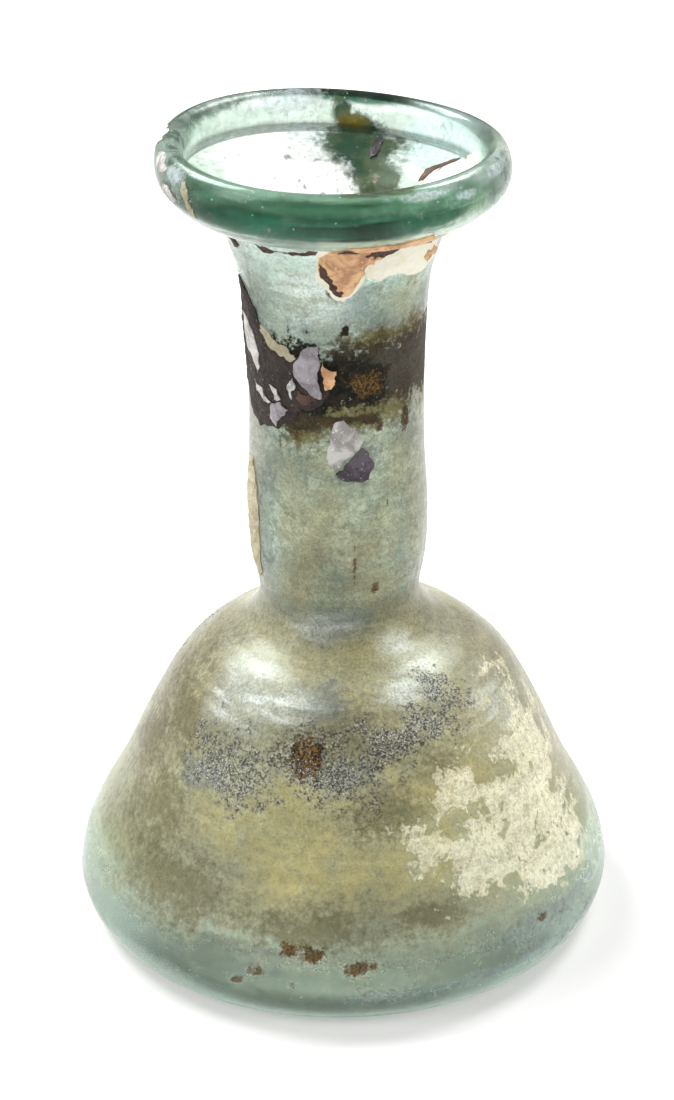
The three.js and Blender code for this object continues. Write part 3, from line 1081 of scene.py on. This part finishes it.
# Name, material, thickness, lift, seed, how far its right edge curls up, side, and corners, each an azimuth
# and a height
FLAKES = (
    ("crust_halo_under_rim", cream_crust, 0.14, 0.0, 2, 0.0, OUTSIDE, [
        (-9, 98.2), (2, 100.6), (20, 100.4), (28, 97), (16, 95.2), (12, 92.6), (4.5, 91.1), (-2, 91.8),
        (-8.6, 94)]),
    ("crust_tan_under_rim", tan_crust, 0.32, 0.05, 3, 0.0, OUTSIDE, [
        (-5.7, 98), (-1.6, 100), (5.2, 101.4), (13.6, 101.4), (23, 101.3), (34, 101.7), (40.6, 100.7),
        (33, 99.6), (26.7, 97.2), (21, 96.5), (15.2, 96), (13.2, 94.4), (10, 92.7), (3.9, 91.9),
        (-1.5, 92.6), (-3.1, 93.9), (-7.2, 94.8), (-8, 96.5)]),
    ("crust_brown_edge", umber_crust, 0.2, 0.26, 21, 0.0, OUTSIDE, [
        (-7.6, 97), (-4.6, 96.4), (-2.4, 94.9), (0.4, 94.2), (4.8, 92.8), (3.4, 92), (-1.5, 92.7),
        (-3.2, 94), (-7.1, 94.9), (-8, 96.2)]),
    ("crust_brown_ridge", umber_crust, 0.16, 0.3, 22, 0.0, OUTSIDE, [
        (1, 100.6), (8, 99.2), (14, 98.9), (18, 97.2), (23, 97.4), (33, 98.6), (36, 100.6), (26, 99.3),
        (18, 99.8), (8, 100.6), (3, 101.1)]),
    ("crust_cream_under_rim", cream_crust, 0.25, 0.0, 4, 0.0, OUTSIDE, [
        (16, 97.4), (22.8, 98.2), (30, 100.6), (40, 101), (54, 100), (64.8, 97.6), (70.1, 94.6),
        (61.2, 93.4), (48.5, 93.2), (37, 94.1), (25.5, 93.7), (16.7, 94.7)]),
    ("crust_tan_right", tan_crust, 0.18, 0.2, 23, 0.0, OUTSIDE, [
        (53, 95.4), (58, 96.2), (64, 96.1), (66.6, 94.8), (58, 94.2)]),
    ("crease_under_rim", umber_crust, 0.14, 0.0, 24, 0.0, OUTSIDE, [
        (-47, 98.4), (-39, 98), (-32, 97.95), (-17, 98.2), (-6, 98.5), (-10, 98.15), (-17, 97.85),
        (-32, 97.55), (-40, 97.6)]),
    ("crease_left", umber_crust, 0.2, 0.0, 25, 0.0, OUTSIDE, [
        (-74, 98.6), (-63, 97.6), (-57, 96.8), (-62, 96.2), (-73, 97)]),
    ("crust_dark_left", dark_crust, 0.4, 0.0, 5, 0.0, OUTSIDE, [
        (-74, 91.4), (-66, 90), (-60.5, 88.8), (-52.3, 86.1), (-44.3, 83.9), (-29.8, 82.2), (-22, 83.4),
        (-12, 82.6), (-6, 81), (-6, 78), (-12, 76.6), (-21.8, 76.2), (-26.7, 74.9), (-40.8, 72.6),
        (-59.3, 71.9), (-71.8, 73.9), (-80, 78), (-82, 84)]),
    ("flake_beige_left", straw_crust, 0.2, 0.1, 26, 0.1, OUTSIDE, [
        (-56, 86.8), (-41.2, 84.9), (-31.5, 84.4), (-25, 83), (-29.6, 82.4), (-37.9, 83), (-50, 84.4)]),
    ("blade_white_left", silver_crust, 0.2, 0.35, 27, 0.1, OUTSIDE, [
        (-74, 87), (-64, 86), (-57, 84), (-53.6, 80.4), (-57.3, 79.3), (-63, 81.6), (-70, 83.6)]),
    ("sliver_left_a", silver_crust, 0.15, 0.4, 28, 0.2, OUTSIDE, [
        (-61.3, 78.3), (-51.9, 77.8), (-44.4, 76.2), (-50.6, 76), (-58.5, 77)]),
    ("sliver_left_b", silver_crust, 0.15, 0.42, 29, 0.2, OUTSIDE, [
        (-45.6, 78.6), (-39.6, 78.3), (-36.4, 77), (-41.2, 76.8)]),
    ("sliver_left_c", silver_crust, 0.15, 0.4, 30, 0.2, OUTSIDE, [
        (-31.5, 79.3), (-27.4, 80.4), (-25.3, 79.3), (-28.5, 77.4)]),
    ("flake_lilac_low", lilac_crust, 0.22, 0.4, 7, 0.2, OUTSIDE, [
        (-44.4, 76.1), (-37.3, 76.7), (-31.2, 75.8), (-37.9, 74.2), (-40.8, 73.1), (-46.5, 73.9)]),
    ("flake_umber_left", umber_crust, 0.2, 0.42, 31, 0.1, OUTSIDE, [
        (-24.8, 78.8), (-15.1, 78.6), (-12, 77.8), (-19.6, 76.8), (-26.2, 77.6)]),
    ("flake_lilac", lilac_crust, 0.22, 0.5, 6, 0.45, OUTSIDE, [
        (-26.5, 81.4), (-23.9, 83), (-16.1, 85), (-10, 85.3), (-9.3, 82.7), (-8.8, 78.2), (-13, 78.2),
        (-24.5, 80.3)]),
    ("flake_tan_left", tan_crust, 0.2, 0.5, 32, 0.0, OUTSIDE, [
        (-8, 82.9), (-4.4, 81.9), (0.1, 81.8), (-1, 80), (-6.7, 79.1), (-8, 80.2)]),
    ("patch_silver_mid", silver_crust, 0.18, 0.0, 9, 0.0, OUTSIDE, [
        (-0.9, 74.6), (4.3, 74.9), (13.7, 72.9), (16.9, 71.7), (9.2, 69.7), (0.8, 68.2), (-4.4, 68.6),
        (-6.3, 70.9), (-5.2, 72.4)]),
    ("nodule_plum", plum_crust, 0.5, 0.1, 10, 0.0, OUTSIDE, [
        (10.3, 69.9), (15.8, 70.9), (20.1, 70.1), (23.9, 68.1), (19.8, 66.4), (11.1, 66.5), (0.7, 67),
        (-1.3, 67.6), (7.1, 69)]),
    ("flake_cream_left", straw_crust, 0.2, 0.05, 11, 0.0, OUTSIDE, [
        (-84, 66), (-72, 66.4), (-64, 63), (-61, 57), (-62, 51), (-70, 49.6), (-80, 52), (-84, 60)]),
    ("streak_ochre_roll", straw_crust, 0.1, 0.0, 36, 0.0, OUTSIDE, [
        (-56, 106.5), (-54.6, 106.7), (-52, 104.6), (-49.6, 102.5), (-50.6, 102.4), (-53.6, 104.2)]),
    ("scale_roll_left_a", silver_crust, 0.1, 0.0, 37, 0.0, OUTSIDE, [
        (-80, 107), (-73, 107.5), (-67, 106.7), (-70, 105.8), (-77, 105.6)]),
    ("scale_roll_left_b", silver_crust, 0.1, 0.0, 38, 0.0, OUTSIDE, [
        (-70, 104.4), (-64, 104.8), (-59, 103.7), (-63, 102.9), (-69, 103.4)]),
    ("scale_roll_left_c", cream_crust, 0.12, 0.0, 39, 0.0, OUTSIDE, [
        (-100, 107.8), (-94, 108.1), (-87, 107.7), (-89, 106.6), (-96, 106.4)]),
    ("crust_mouth_right", cream_crust, 0.25, 0.0, 33, 0.0, INSIDE, [
        (124, 99.6), (128, 100.8), (124.7, 101.6), (111.4, 103.8), (98, 105.6), (92, 104), (100, 102),
        (112, 100)]),
    ("crust_mouth_edge", umber_crust, 0.16, 0.16, 34, 0.0, INSIDE, [
        (126, 99.8), (128, 101), (121, 102.4), (120, 101.2), (123, 100)]),
    ("knot_mouth", plum_crust, 0.7, 0.0, 35, 0.0, INSIDE, [
        (162.8, 101.5), (162.1, 102), (160.6, 102.2), (159.1, 102), (158.4, 101.5), (159.1, 101),
        (160.6, 100.8), (162.1, 101)]),
)
for name, material, thick, lift, seed, curl, side, corners in FLAKES:
    make_flake(name, corners, material, thick, lift, seed, curl, side)

granule_dark = make_grain_material("granule_dark", (0.05, 0.05, 0.055), (0.14, 0.13, 0.12), 0.5)
granule_silver = make_grain_material("granule_silver", (0.62, 0.64, 0.66), (0.4, 0.42, 0.44), 0.35, 0.3)
granule_rust = make_grain_material("granule_rust", (0.2, 0.09, 0.02), (0.03, 0.015, 0.008), 0.7)
granule_pale = make_grain_material("granule_pale", (0.9, 0.9, 0.82), (0.7, 0.7, 0.6), 0.5)
# Name, stain it follows, material, grains for each square mm, smallest and largest radius in mm, flatness,
# bias of the stain, and seed
GRAINS = (
    ("granules_dark", "granular", granule_dark, 11.0, 0.04, 0.14, 0.4, -0.25, 101),
    ("granules_silver", "granular", granule_silver, 8.0, 0.03, 0.11, 0.4, -0.25, 202),
    ("granules_rust", "rust", granule_rust, 9.0, 0.04, 0.11, 0.5, -0.1, 303),
    ("granules_band", "brown", granule_rust, 1.4, 0.04, 0.12, 0.4, -0.1, 404),
    ("specks_dark", "haze", granule_dark, 0.16, 0.03, 0.1, 0.4, 0.0, 505),
    ("specks_neck", "neck_grime_and_root_shade", granule_dark, 0.5, 0.03, 0.1, 0.4, 0.0, 606),
    ("specks_pale", "green", granule_pale, 0.08, 0.03, 0.08, 0.4, 0.0, 707),
)
for name, stain, material, per_mm2, smallest, largest, flatness, bias, seed in GRAINS:
    scatter(name, glass, stain, material, per_mm2, smallest, largest, flatness, bias, seed)

finish_piece(glass, make_weathered_glass())
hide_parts("flask")

make_stage()
for name, place, size, power in SOFTBOXES:
    make_softbox(name, place, size, power)
make_camera()
bpy.context.scene.view_settings.view_transform = "Standard"
